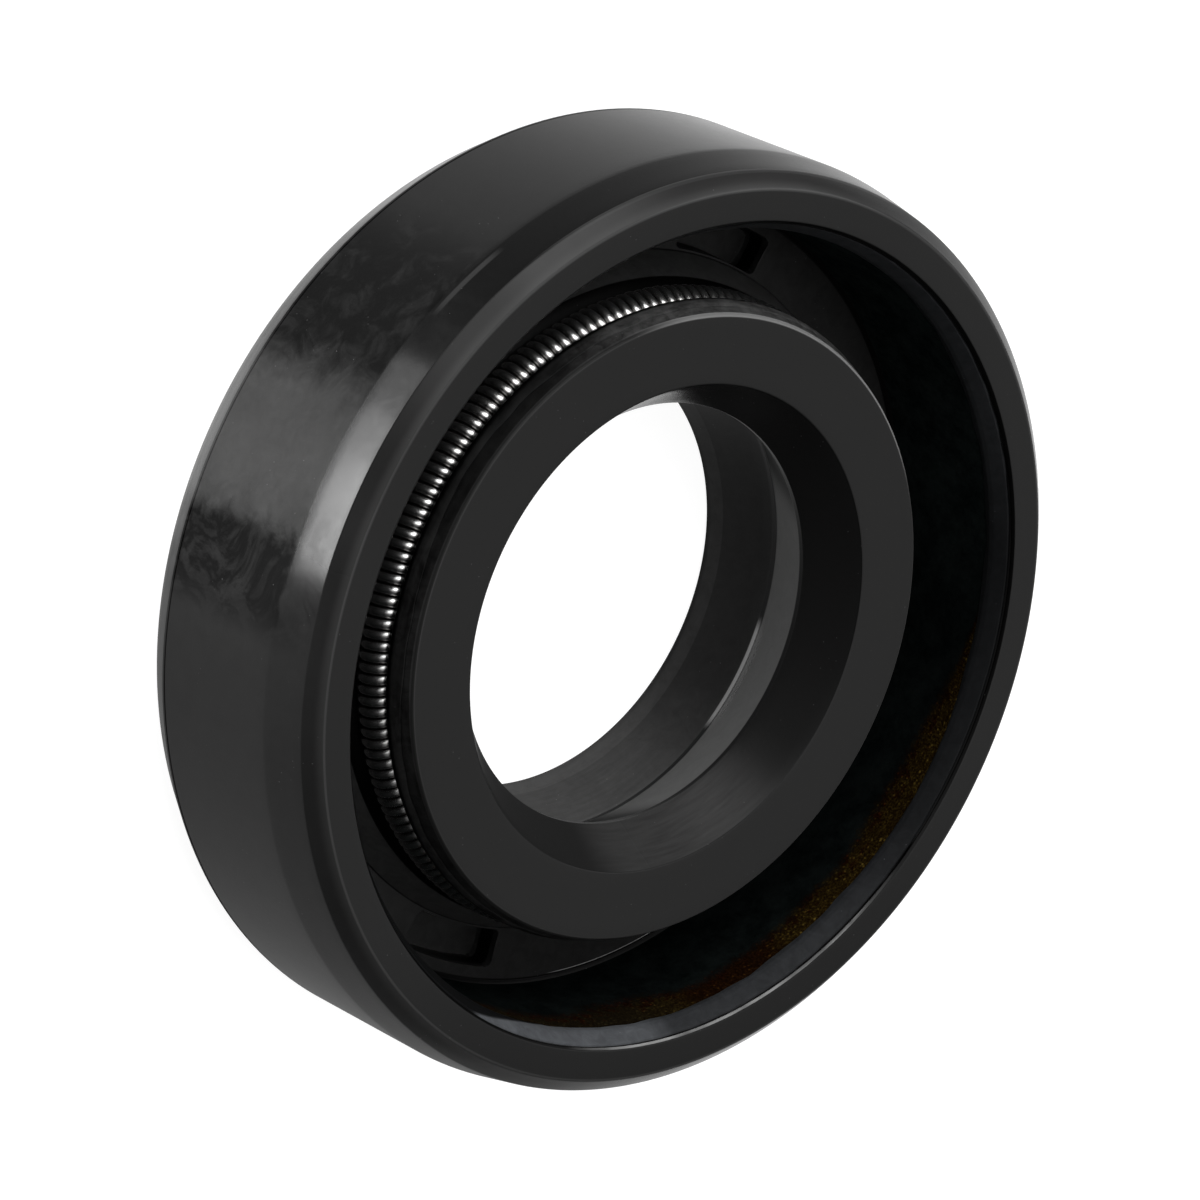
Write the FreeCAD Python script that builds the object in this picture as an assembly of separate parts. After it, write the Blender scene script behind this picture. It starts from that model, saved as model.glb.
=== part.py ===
import FreeCAD, Part
import math
import os

# Radial shaft seal with a rubber-covered case, a spring-loaded sealing lip and a dust lip.
# Millimetres. The axis is +Z, the closed back face lies on z = 0 and the spring side faces up.
# A section is drawn as (radius, height) in the XZ plane and turned about Z.

# Shaft and width
shaft_d = 12.0
width = 7.0

# Sealing lip
lip_interference = 0.12
lip_edge_z = 4.52
lip_land = 0.14
oil_angle = 32.0
air_angle = 25.0
heel_rise = 1.48
neck_z = 2.24

# Dust lip
dust_clearance = 0.25
dust_edge_z = 0.10
dust_tip = 0.16
dust_root = 0.42

# Garter spring, a close-wound coil joined to itself
coil_d = 1.26
wire_d = 0.30
turns = 180
spring_seat = 1.89
spring_below_edge = 0.23

# Groove that holds the spring, between a ledge below it and a hook above it
groove_clearance = 0.05
ledge_angle = 62.0
ledge_reach = 0.63
ledge_depth = 0.80
hook_reach = 0.53
hook_depth = 0.20
hook_lip = 0.20
heel_draw = 0.26

# Cavity between the lip and the case
foot_spread = 0.52
cavity = 1.60
pad_t = 0.84

# Steel insert
steel_t = 0.80
bend_r = 0.35
flange_bury = 0.35

# Rubber round the steel
cover_t = 1.05
rim_skin = 0.62
back_skin = 0.85
flange_edge_skin = 0.65

# Outer edges
back_chamfer_r = 0.52
back_chamfer_z = 0.97
taper_r = 0.24
taper_z = 1.24
bevel_r = 0.41
bevel_z = 0.42
rim_lead = 0.22
rim_break = 0.09

# Hollow behind the neck
hollow_z = 0.75
hollow_draft = 0.20

# Pockets left in the floor pad by the pins that hold the steel in the mould
pockets = 4
pocket_start = 5.2
pocket_sweep = 18.0
pocket_from_foot = 0.09
pocket_from_bend = 0.14
pocket_corner = 0.20

# Angle that one flat spans where flats stand for a round stretch of the section, and steps of the wire
groove_flat_angle = 40.0
hollow_flat_angle = 60.0
outer_bend_flat_angle = 45.0
inner_bend_flat_angle = 90.0
steps_per_turn = 5


def slope(angle):
    return math.tan(math.radians(angle))


# Heights
flange_top_z = back_skin + steel_t
floor_z = flange_top_z + pad_t
wall_top_z = width - rim_skin
heel_z = lip_edge_z + heel_rise
land_top_z = lip_edge_z + lip_land / 2
land_low_z = lip_edge_z - lip_land / 2
spring_z = lip_edge_z - spring_below_edge

# Radii, from the shaft outwards
lip_r = shaft_d / 2 - lip_interference
dust_r = shaft_d / 2 + dust_clearance
heel_inner_r = lip_r + (heel_z - land_top_z) * slope(oil_angle)
neck_r = lip_r + (land_low_z - neck_z) * slope(air_angle)
groove_r = coil_d / 2 + groove_clearance
spring_r = lip_r + spring_seat + coil_d / 2
hook_r = spring_r + hook_reach
ledge_r = spring_r + ledge_reach
ledge_z = spring_z - ledge_depth
foot_r = ledge_r + foot_spread
flange_inner_r = foot_r - flange_bury
wall_inner_r = foot_r + cavity
wall_outer_r = wall_inner_r + steel_t
cover_r = wall_outer_r + cover_t
bend_centre_r = wall_inner_r - bend_r
bend_centre_z = flange_top_z + bend_r
hollow_outer_r = flange_inner_r - flange_edge_skin
hollow_inner_r = neck_r + dust_root
hollow_r = (hollow_outer_r - hollow_inner_r) / 2


def at(radius, height):
    """A point of the section."""
    return FreeCAD.Vector(radius, 0, height)


def run(*points):
    """Straight edges from point to point."""
    return [Part.LineSegment(a, b).toShape() for a, b in zip(points, points[1:])]


def round_run(centre_r, centre_z, radius, start, end, flat_angle):
    """A round stretch as equal flats between points of its circle, by angles from outwards, turning upwards."""
    flats = round(abs(end - start) / flat_angle)
    turns_at = [math.radians(start + (end - start) * i / flats) for i in range(flats + 1)]
    return run(*(at(centre_r + radius * math.cos(t), centre_z + radius * math.sin(t)) for t in turns_at))


def turned(edges):
    """The ring that a closed section makes about the axis."""
    ring = Part.Face(Part.Wire(edges)).revolve(FreeCAD.Vector(0, 0, 0), FreeCAD.Vector(0, 0, 1), 360)
    return ring if ring.Volume > 0 else ring.reversed()


def case_outside():
    """Back face, chamfer, press-fit cover, lead-in taper, bevel, rim face and the wrap over the steel."""
    rim_outer_r = cover_r - taper_r - bevel_r
    rim_inner_r = wall_inner_r + rim_lead + rim_break
    return run(
        at(hollow_outer_r + hollow_draft, 0),
        at(cover_r - back_chamfer_r, 0),
        at(cover_r, back_chamfer_z),
        at(cover_r, width - bevel_z - taper_z),
        at(cover_r - taper_r, width - bevel_z),
        at(rim_outer_r, width),
        at(rim_inner_r, width),
        at(rim_inner_r - rim_break, width - rim_break),
        at(wall_inner_r, wall_top_z),
    )


def steel_outside():
    """Outer side of the pressing: open edge, wall, bend, underside and inner edge of the flange."""
    return (
        run(at(wall_inner_r, wall_top_z), at(wall_outer_r, wall_top_z), at(wall_outer_r, bend_centre_z))
        + round_run(bend_centre_r, bend_centre_z, bend_r + steel_t, 0, -90, outer_bend_flat_angle)
        + run(at(bend_centre_r, back_skin), at(flange_inner_r, back_skin), at(flange_inner_r, flange_top_z))
    )


def steel_inside(top_z):
    """Inner side of the pressing, from the flange's edge round the bend to a height on the wall."""
    return (
        run(at(flange_inner_r, flange_top_z), at(bend_centre_r, flange_top_z))
        + round_run(bend_centre_r, bend_centre_z, bend_r, -90, 0, inner_bend_flat_angle)
        + run(at(wall_inner_r, bend_centre_z), at(wall_inner_r, top_z))
    )


def lip_outside():
    """Floor pad, neck, ledge, spring groove, hook and the flank of the head."""
    groove_top_z = spring_z + groove_r
    hook_z = groove_top_z + hook_depth
    ledge = math.radians(ledge_angle)
    return (
        run(
            at(wall_inner_r, floor_z),
            at(foot_r, floor_z),
            at(ledge_r, ledge_z),
            at(spring_r + groove_r * math.cos(ledge), spring_z - groove_r * math.sin(ledge)),
        )
        + round_run(spring_r, spring_z, groove_r, -ledge_angle, -270, groove_flat_angle)
        + run(
            at(spring_r, groove_top_z),
            at(hook_r, hook_z),
            at(hook_r, hook_z + hook_lip),
            at(hook_r - heel_draw, heel_z),
        )
    )


def bore_side():
    """Heel face, oil-side cone, sealing edge, air-side cone, dust lip and the hollow behind the neck."""
    return (
        run(
            at(hook_r - heel_draw, heel_z),
            at(heel_inner_r, heel_z),
            at(lip_r, land_top_z),
            at(lip_r, land_low_z),
            at(neck_r, neck_z),
            at(dust_r, dust_edge_z),
            at(dust_r + dust_tip, 0),
            at(hollow_inner_r, hollow_z),
        )
        + round_run(hollow_inner_r + hollow_r, hollow_z, hollow_r, 180, 0, hollow_flat_angle)
        + run(at(hollow_outer_r, hollow_z), at(hollow_outer_r + hollow_draft, 0))
    )


def mould_pocket(angle):
    """One pocket through the floor pad: a sector with rounded corners that bares the steel flange."""
    inner_r = foot_r + pocket_from_foot
    outer_r = bend_centre_r - pocket_from_bend
    half = pocket_sweep / 2

    def plan(radius, turn):
        spin = math.radians(angle + turn)
        return FreeCAD.Vector(radius * math.cos(spin), radius * math.sin(spin), flange_top_z)

    outline = Part.Wire(
        [Part.Arc(plan(inner_r, -half), plan(inner_r, 0), plan(inner_r, half)).toShape()]
        + run(plan(inner_r, half), plan(outer_r, half))
        + [Part.Arc(plan(outer_r, half), plan(outer_r, 0), plan(outer_r, -half)).toShape()]
        + run(plan(outer_r, -half), plan(inner_r, -half))
    )
    block = Part.Face(outline).extrude(FreeCAD.Vector(0, 0, 2 * pad_t))
    corners = [e for e in block.Edges if abs(e.tangentAt(e.FirstParameter).z) > 0.99]
    return block.makeFillet(pocket_corner, corners)


def rubber_body():
    """The moulding: cover, rim, back, floor pad, neck, sealing lip and dust lip in one piece of rubber."""
    body = turned(case_outside() + steel_outside() + steel_inside(floor_z) + lip_outside() + bore_side())
    for i in range(pockets):
        body = body.cut(mould_pocket(pocket_start + i * 360 / pockets))
    return body


def steel_insert():
    """The pressed L-section ring that the rubber is bonded to."""
    return turned(steel_outside() + steel_inside(wall_top_z))


def garter_spring():
    """The coil as one closed wire: a three-sided ridge carried round the coil and round the axis at once."""
    inner_coil_r = coil_d / 2 - wire_d
    half = wire_d / 2
    # Coil radius and place along the ring of the section's corners, with the ridge outwards.
    corners = ((inner_coil_r, -half), (coil_d / 2, 0), (inner_coil_r, half))
    sides = len(corners)
    count = turns * steps_per_turn
    points = []
    for i in range(count):
        around = 2 * math.pi * i / count
        wind = -2 * math.pi * i / steps_per_turn
        for coil_r, side in corners:
            radius = spring_r + coil_r * math.cos(wind)
            height = spring_z + coil_r * math.sin(wind)
            x = radius * math.cos(around) - side * math.sin(around)
            y = radius * math.sin(around) + side * math.cos(around)
            points.append(FreeCAD.Vector(x, y, height))
    facets = []
    for i in range(count):
        here = sides * i
        there = sides * ((i + 1) % count)
        for k in range(sides):
            n = (k + 1) % sides
            facets.append((here + k, here + n, there + n))
            facets.append((here + k, there + n, there + k))
    skin = Part.Shape()
    skin.makeShapeFromMesh((points, facets), 0.001)
    coil = Part.Solid(Part.Shell(skin.Faces))
    return coil if coil.Volume > 0 else coil.reversed()


os.makedirs("parts", exist_ok=True)
for name, shape in (
    ("rubber_body", rubber_body()),
    ("steel_insert", steel_insert()),
    ("garter_spring", garter_spring()),
):
    shape.exportStep("parts/" + name + ".step")
    print(name, "valid", shape.isValid(), "solids", len(shape.Solids), "volume", round(shape.Volume, 3))
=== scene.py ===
"""Radial shaft seal: the rubber moulding, the pressed steel insert and the garter spring.

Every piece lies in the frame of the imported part: metres, the axis along +Z, the closed back face on z = 0.
Sections are written in millimetres as (radius, height) and turned about the axis.
"""

import logging
import math
from dataclasses import dataclass, field
from enum import Enum

import bpy
import numpy as np
from mathutils import Matrix, Vector


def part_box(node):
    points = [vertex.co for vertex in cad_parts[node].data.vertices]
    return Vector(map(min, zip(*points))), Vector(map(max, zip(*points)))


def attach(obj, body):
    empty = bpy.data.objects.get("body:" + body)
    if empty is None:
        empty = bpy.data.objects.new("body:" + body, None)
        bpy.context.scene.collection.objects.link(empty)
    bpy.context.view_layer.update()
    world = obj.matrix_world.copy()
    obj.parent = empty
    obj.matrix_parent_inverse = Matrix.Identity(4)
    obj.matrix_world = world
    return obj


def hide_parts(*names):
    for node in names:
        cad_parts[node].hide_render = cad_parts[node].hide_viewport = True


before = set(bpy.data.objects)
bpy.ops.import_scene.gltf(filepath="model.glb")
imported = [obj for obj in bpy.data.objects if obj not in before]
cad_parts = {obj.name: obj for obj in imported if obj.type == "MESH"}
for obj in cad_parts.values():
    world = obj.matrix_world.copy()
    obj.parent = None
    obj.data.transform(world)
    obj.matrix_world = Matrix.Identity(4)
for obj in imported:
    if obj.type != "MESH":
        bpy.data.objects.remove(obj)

MM = 0.001
DEGREE = math.pi / 180
Colour = tuple[float, float, float, float]
log = logging.getLogger("seal")


class Slot(Enum):
    """The material slots of the three pieces."""

    RUBBER = "nitrile_rubber"
    INSERT = "insert_steel"
    SPRING = "spring_steel"


class Value:
    """A number or colour output of a node that can stand in a Python expression."""

    def __init__(self, graph: "Graph", socket: bpy.types.NodeSocket) -> None:
        """Keeps the graph and the output socket."""
        self.graph = graph
        self.socket = socket

    def __add__(self, other: "Value | float") -> "Value":
        """Sum."""
        return self.graph.math("ADD", self, other)

    __radd__ = __add__

    def __sub__(self, other: "Value | float") -> "Value":
        """Difference."""
        return self.graph.math("SUBTRACT", self, other)

    def __rsub__(self, other: "Value | float") -> "Value":
        """Difference from a number."""
        return self.graph.math("SUBTRACT", other, self)

    def __mul__(self, other: "Value | float") -> "Value":
        """Product."""
        return self.graph.math("MULTIPLY", self, other)

    __rmul__ = __mul__

    def __truediv__(self, other: "Value | float") -> "Value":
        """Quotient."""
        return self.graph.math("DIVIDE", self, other)

    def __pow__(self, other: float) -> "Value":
        """Power."""
        return self.graph.math("POWER", self, other)


class Graph:
    """The node tree of one material or world, built by expressions."""

    def __init__(self, tree: bpy.types.NodeTree) -> None:
        """Empties the tree.

        Args:
            tree: The node tree to fill.
        """
        self.tree = tree
        tree.nodes.clear()

    def node(self, kind: str, settings: dict | None = None, inputs: dict | None = None) -> bpy.types.Node:
        """Adds one node.

        Args:
            kind: Blender's name of the node type.
            settings: Properties set first, by name.
            inputs: Values or links, by socket name or index.

        Returns:
            The new node.
        """
        made = self.tree.nodes.new(kind)
        for name, value in (settings or {}).items():
            setattr(made, name, value)
        for name, value in (inputs or {}).items():
            self.feed(made.inputs[name], value)
        return made

    def feed(self, socket: bpy.types.NodeSocket, value: object) -> None:
        """Links a Value to a socket, or sets a number or colour on it.

        Args:
            socket: The input socket.
            value: A Value, a number or a tuple.
        """
        if isinstance(value, Value):
            self.tree.links.new(value.socket, socket)
        else:
            socket.default_value = value

    def out(self, made: bpy.types.Node, name: str | int = 0) -> Value:
        """Wraps one output of a node."""
        return Value(self, made.outputs[name])

    def math(self, operation: str, *terms: "Value | float") -> Value:
        """One Math node on one to three terms."""
        made = self.node("ShaderNodeMath", {"operation": operation}, dict(enumerate(terms)))
        return self.out(made)

    def rise(self, value: Value, low: float, high: float) -> Value:
        """A smooth step from 0 at low to 1 at high; low may be the larger."""
        limits = {"Value": value, "From Min": low, "From Max": high}
        return self.out(self.node("ShaderNodeMapRange", {"interpolation_type": "SMOOTHSTEP"}, limits))

    def band(self, value: Value, low: float, high: float, soft: float) -> Value:
        """1 between low and high, falling to 0 over the soft width outside them."""
        return self.rise(value, low - soft, low) * self.rise(value, high + soft, high)

    def noise(self, place: Value, scale: float, detail: float, rough: float, bend: float = 0.0) -> Value:
        """Fractal noise from 0 to 1 at a place."""
        inputs = {"Vector": place, "Scale": scale, "Detail": detail, "Roughness": rough, "Distortion": bend}
        return self.out(self.node("ShaderNodeTexNoise", {}, inputs), "Fac")

    def cells(self, place: Value, scale: float, jitter: float = 1.0) -> Value:
        """Distance to the nearest of scattered points, in cell widths."""
        inputs = {"Vector": place, "Scale": scale, "Randomness": jitter}
        return self.out(self.node("ShaderNodeTexVoronoi", {}, inputs), "Distance")

    def mix(self, share: Value, first: object, second: object) -> Value:
        """A colour between two colours."""
        made = self.node("ShaderNodeMix", {"data_type": "RGBA"}, {"Factor": share, 6: first, 7: second})
        return self.out(made, 2)

    def vector(self, x: Value, y: Value, z: "Value | float") -> Value:
        """A vector of three numbers."""
        return self.out(self.node("ShaderNodeCombineXYZ", {}, {"X": x, "Y": y, "Z": z}))

    def scaled(self, vector: Value, factor: "Value | float") -> Value:
        """A vector or colour times a number."""
        made = self.node("ShaderNodeVectorMath", {"operation": "SCALE"}, {0: vector, "Scale": factor})
        return self.out(made)

    def largest(self, *terms: Value) -> Value:
        """The largest of some values."""
        top = terms[0]
        for term in terms[1:]:
            top = self.math("MAXIMUM", top, term)
        return top

    def bump(self, height: Value, distance: float, strength: float = 1.0) -> Value:
        """The normal of a surface raised by height times distance, in metres."""
        inputs = {"Height": height, "Distance": distance, "Strength": strength}
        return self.out(self.node("ShaderNodeBump", {}, inputs), "Normal")


@dataclass(frozen=True)
class Place:
    """Where a shaded point lies on the seal, in millimetres about the axis.

    Attributes:
        point: Object coordinates in millimetres.
        x: Unit direction from the axis, first part.
        y: Unit direction from the axis, second part.
        radius: Distance from the axis.
        height: Height over the back face.
        graph: The graph that these values belong to.
        shares: The zones and sectors worked out so far.
    """

    point: Value
    x: Value
    y: Value
    radius: Value
    height: Value
    graph: Graph
    shares: dict["Zone | Sector", Value] = field(default_factory=dict)

    @classmethod
    def on(cls, graph: Graph) -> "Place":
        """Reads Object coordinates and turns them into cylinder coordinates.

        Args:
            graph: The material's graph.

        Returns:
            The place.
        """
        here = graph.out(graph.node("ShaderNodeTexCoord"), "Object")
        point = graph.scaled(here, 1 / MM)
        parts = graph.node("ShaderNodeSeparateXYZ", {}, {0: point})
        x, y, height = (graph.out(parts, i) for i in range(3))
        radius = (x * x + y * y) ** 0.5
        return cls(point, x / radius, y / radius, radius, height, graph)

    def facing(self, angle: float) -> Value:
        """Cosine of the turn between this point and an angle round the axis, in degrees."""
        return self.x * math.cos(angle * DEGREE) + self.y * math.sin(angle * DEGREE)

    def share(self, part: "Zone | Sector") -> Value:
        """How far this point lies in a zone or sector, from 0 to 1, worked out once for each material."""
        if part not in self.shares:
            self.shares[part] = part.share(self)
        return self.shares[part]

    def rolled(self, along: float, across: float) -> Value:
        """A point on the unrolled seal, stretched along the axis's turn and across it."""
        side = self.height * across + self.radius * across
        return self.graph.vector(self.x * along, self.y * along, side)


@dataclass(frozen=True)
class Finish:
    """What every finish shares.

    Attributes:
        name: The material's name.
    """

    name: str

    def material(self) -> bpy.types.Material:
        """Builds the material.

        Returns:
            The material, with its nodes.
        """
        made = bpy.data.materials.new(self.name)
        made.use_nodes = True
        graph = Graph(made.node_tree)
        shader = graph.node("ShaderNodeBsdfPrincipled", {}, self.shade(graph))
        graph.node("ShaderNodeOutputMaterial", {}, {"Surface": graph.out(shader)})
        return made

    def shade(self, graph: Graph) -> dict:
        """The inputs of the Principled shader.

        Args:
            graph: The material's graph.

        Returns:
            Socket names and their values.
        """
        raise NotImplementedError


@dataclass(frozen=True)
class Zone:
    """A ring-shaped part of the seal's surface, by its radii and heights in millimetres.

    Attributes:
        inner_r: Least radius.
        outer_r: Greatest radius.
        low_z: Least height.
        high_z: Greatest height.
        soft: Width of the soft border.
    """

    inner_r: float
    outer_r: float
    low_z: float
    high_z: float
    soft: float = 0.03

    def share(self, place: Place) -> Value:
        """1 inside the zone and 0 outside it."""
        graph = place.graph
        across = graph.band(place.radius, self.inner_r, self.outer_r, self.soft)
        return across * graph.band(place.height, self.low_z, self.high_z, self.soft)


@dataclass(frozen=True)
class Sector:
    """A stretch of the ring, by its angle round the axis in degrees.

    Attributes:
        angle: Middle of the stretch.
        half: Half of the stretch.
        soft: Width of the soft border on each side.
    """

    angle: float
    half: float
    soft: float

    def share(self, place: Place) -> Value:
        """1 within the stretch, falling to 0 over its soft border."""
        near = math.cos(self.half * DEGREE)
        far = math.cos((self.half + self.soft) * DEGREE)
        return place.graph.rise(place.facing(self.angle), far, near)


@dataclass(frozen=True)
class Patterns:
    """The uneven patterns that the rubber's tones share, each from 0 to 1.

    Attributes:
        fine: Fine grain.
        grain: The finest grain.
        cloud: Broad soft clouds.
        mottle: Uneven blotches.
        streak: Streaks that run round the axis.
        smear: Veined greasy smears on the cover.
    """

    fine: Value
    grain: Value
    cloud: Value
    mottle: Value
    streak: Value
    smear: Value


@dataclass(frozen=True)
class MouldedRubber(Finish):
    """Black nitrile rubber: glossy as moulded, matt where trimmed, with smears, dust and painted light.

    The zones are where it was cut or handled in its own way, and the sectors are the stretches round the axis
    where that shows or where highlights, a reflection and shade are painted. Each tone is the share of light
    that a place sends back. A pair of tones is the even one and the painted highlight added to it.
    """

    # Zones of the outside
    cover: Zone = Zone(12.3, 13.2, -0.1, 6.98)
    taper: Zone = Zone(12.7, 13.1, 5.45, 6.56, 0.06)
    bevel: Zone = Zone(12.3, 12.8, 6.58, 6.99)
    bevel_edge: Zone = Zone(12.70, 12.82, 6.54, 6.66, 0.02)
    rim: Zone = Zone(11.46, 12.45, 6.99, 7.1, 0.008)
    bead: Zone = Zone(11.41, 11.465, 6.91, 6.98, 0.008)
    back: Zone = Zone(6.3, 12.6, -0.1, 0.6)
    rubbed: Zone = Zone(12.7, 13.1, 5.52, 5.62, 0.05)

    # Zones of the cavity
    wrap: Zone = Zone(11.08, 11.41, 6.1, 6.86)
    pad: Zone = Zone(9.56, 11.0, 2.3, 2.55)
    pocket: Zone = Zone(9.3, 11.0, 1.5, 1.8)
    wall_foot_highlight: Zone = Zone(10.997, 11.003, 2.4, 2.6, 0.012)
    slope: Zone = Zone(9.02, 9.54, 2.55, 3.44)

    # Zones of the lip
    flank: Zone = Zone(8.72, 8.95, 5.32, 5.95)
    heel: Zone = Zone(6.75, 8.70, 5.99, 6.1, 0.008)
    heel_edge: Zone = Zone(8.58, 8.75, 5.89, 5.992, 0.008)
    oil_side: Zone = Zone(5.86, 6.78, 4.58, 5.96)
    air_side: Zone = Zone(5.90, 6.95, 2.42, 4.40, 0.04)
    dust_lip: Zone = Zone(6.2, 6.9, 0.1, 2.2)
    polished: Zone = Zone(6.6, 6.92, 2.2, 2.7, 0.04)

    # Where wear, dust and haze show, and where light and shade are painted
    rim_shaded: Sector = Sector(30.0, 25.0, 40.0)
    bead_highlight: Sector = Sector(42.0, 18.0, 14.0)
    bevel_highlight: Sector = Sector(222.0, 22.0, 24.0)
    bevel_edge_highlight: Sector = Sector(205.0, 20.0, 15.0)
    bevel_bare: Sector = Sector(256.0, 10.0, 10.0)
    taper_bare: Sector = Sector(222.0, 14.0, 14.0)
    taper_rubbed: Sector = Sector(243.0, 2.5, 4.0)
    cover_dull: Sector = Sector(330.0, 30.0, 25.0)
    cover_hazy: Sector = Sector(351.5, 60.0, 26.0)
    wrap_highlight: Sector = Sector(8.0, 16.0, 9.0)
    wrap_glints: Sector = Sector(36.0, 12.0, 34.0)
    wrap_far: Sector = Sector(165.0, 15.0, 30.0)
    wrap_shaded: Sector = Sector(325.0, 40.0, 10.0)
    wall_foot_highlight_seen: Sector = Sector(36.0, 8.0, 3.0)
    flank_dusty: Sector = Sector(196.0, 8.0, 36.0)
    flank_clean: Sector = Sector(254.0, 10.0, 14.0)
    heel_edge_highlight: Sector = Sector(178.0, 28.0, 16.0)
    bore_highlight: Sector = Sector(40.0, 8.0, 24.0)
    oil_dull: Sector = Sector(350.0, 20.0, 20.0)
    air_side_lit: Sector = Sector(88.0, 42.0, 14.0)
    dust_lip_worn: Sector = Sector(50.0, 10.0, 26.0)
    neck_polished: Sector = Sector(87.0, 10.0, 5.0)

    # Tones
    base_tone: float = 0.0004
    grain_tone: float = 0.0008
    trimmed_tone: float = 0.0124
    flank_tone: float = 0.008
    air_side_light_tone: float = 0.072
    oil_tone: float = 0.006
    bore_highlight_tone: float = 0.022
    dust_lip_tone: float = 0.010
    slope_light_tone: float = 0.030
    pad_tone: float = 0.012
    pocket_light_tone: float = 0.016
    back_tone: float = 0.008
    wall_foot_highlight_tone: float = 0.22
    speck_tone: float = 0.05
    # Painted highlights on the rim's bead, the bevel, its lower edge and the heel's outer edge
    bead_highlight_tones: tuple[float, float] = (0.05, 0.13)
    bevel_highlight_tones: tuple[float, float] = (0.004, 0.008)
    bevel_top_highlight_tone: float = 0.010
    bevel_edge_highlight_tone: float = 0.020
    heel_edge_highlight_tones: tuple[float, float] = (0.012, 0.11)
    wrap_highlight_tone: float = 0.044
    wrap_glint_and_haze_tone: float = 0.010
    wrap_tone: float = 0.006
    haze_tone: float = 0.003
    reflection_tone: float = 0.021

    # The painted reflection, a pale band across the cover with an uneven edge
    reflection_angle: float = 269.5
    reflection_half: float = 8.5
    reflection_ragged: float = 0.14
    reflection_low_z: float = 5.3
    reflection_high_z: float = 5.5

    # The glossy skin left by the mould
    cover_film: float = 0.07
    trimmed_film: float = 0.03
    rubbed_film: float = 0.25
    film_rough: float = 0.18
    film_ior: float = 2.0

    # Tints: two of the rubber and one of the haze
    cool: Colour = (0.98, 0.99, 1.0, 1.0)
    warm: Colour = (1.0, 0.99, 0.97, 1.0)
    bluish: Colour = (0.93, 0.98, 1.06, 1.0)

    def shade(self, graph: Graph) -> dict:
        """Colour, gloss and grain by zone.

        Args:
            graph: The material's graph.

        Returns:
            Socket names and their values.
        """
        place = Place.on(graph)
        look = self.patterns(place)
        tint = graph.mix(place.share(self.wrap), graph.mix(look.fine, self.cool, self.warm), self.bluish)
        return {
            "Base Color": graph.scaled(tint, self.tone(place, look)),
            "Roughness": self.roughness(place, look),
            "Specular IOR Level": 0.05,
            "Coat Weight": self.film(place, look),
            "Coat Roughness": self.film_rough,
            "Coat IOR": self.film_ior,
            "Normal": graph.bump(self.relief(place, look), 0.006 * MM, 0.8),
        }

    def patterns(self, place: Place) -> Patterns:
        """The noises, laid out in millimetres.

        Args:
            place: The shaded point.

        Returns:
            The patterns.
        """
        noise = place.graph.noise
        return Patterns(
            fine=noise(place.point, 9.0, 4.0, 0.6),
            grain=noise(place.point, 30.0, 2.0, 0.6),
            cloud=noise(place.point, 0.45, 4.0, 0.55, 0.4),
            mottle=noise(place.point, 2.6, 5.0, 0.65, 0.8),
            streak=noise(place.rolled(6.0, 7.0), 1.0, 4.0, 0.6),
            smear=self.smears(place),
        )

    def trimmed(self, place: Place) -> Value:
        """1 on the two cut faces, the rim and the heel."""
        return place.graph.largest(place.share(self.rim), place.share(self.heel))

    def bore(self, place: Place) -> Value:
        """1 on the oil-side cone and the dust lip."""
        return place.graph.largest(place.share(self.oil_side), place.share(self.dust_lip))

    def tone(self, place: Place, look: Patterns) -> Value:
        """The share of light sent back: a black base and what each zone adds to it.

        Args:
            place: The shaded point.
            look: The patterns there.

        Returns:
            The tone.
        """
        on = place.share
        lit = 1.0 - 0.3 * on(self.rim) * on(self.rim_shaded)
        tone = self.base_tone + self.grain_tone * look.fine + self.trimmed_tone * self.trimmed(place) * lit
        tone = tone + self.edge_highlights(place)
        tone = tone + self.lip_tone(place, look)
        tone = tone + self.floor_tone(place, look)
        tone = tone + on(self.cover) * self.cover_tone(place, look) * (0.75 + 0.5 * look.mottle)
        tone = tone + on(self.wrap) * self.haze_and_highlight_on_wrap(place, look)
        return tone + self.specks(place) * self.speck_tone

    def lip_tone(self, place: Place, look: Patterns) -> Value:
        """What the flank, both cones and the dust lip add: their dust and wear, painted light on the air-side
        cone, and a painted highlight in the bore.

        Args:
            place: The shaded point.
            look: The patterns there.

        Returns:
            The tone added.
        """
        on = place.share
        dusty = 1.0 + 2.6 * on(self.flank_dusty) - 0.5 * on(self.flank_clean)
        patchy = 0.2 + 1.6 * place.graph.rise(0.5 * look.mottle + 0.5 * look.streak, 0.3, 0.7)
        flank = on(self.flank) * self.flank_tone * dusty * patchy
        # Painted light on the air-side cone, on one side of the bore only
        air = on(self.air_side) * on(self.air_side_lit) * self.air_side_light_tone * (0.8 + 0.4 * look.mottle)
        oil = on(self.oil_side) * self.oil_tone
        # Painted highlight, streaked, on one stretch of the bore
        streaked_highlight = self.bore(place) * on(self.bore_highlight) * self.bore_highlight_tone * (0.25 + 0.9 * look.streak)
        wear_and_breakup = self.dust_lip_tone * (1.0 + on(self.dust_lip_worn))
        dust = on(self.dust_lip) * wear_and_breakup * (0.6 + 0.8 * look.mottle)
        return flank + air + oil + streaked_highlight + dust

    def floor_tone(self, place: Place, look: Patterns) -> Value:
        """What the neck's slope, the pad, its pockets and the back add, with painted light on the slope and
        in the pockets, and a painted highlight beside the wall.

        Args:
            place: The shaded point.
            look: The patterns there.

        Returns:
            The tone added.
        """
        on = place.share
        # Painted light lifts the shaded slope and the pocket floors
        cavity = on(self.slope) * self.slope_light_tone + on(self.pad) * self.pad_tone
        plain = cavity + on(self.pocket) * self.pocket_light_tone + on(self.back) * self.back_tone
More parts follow.
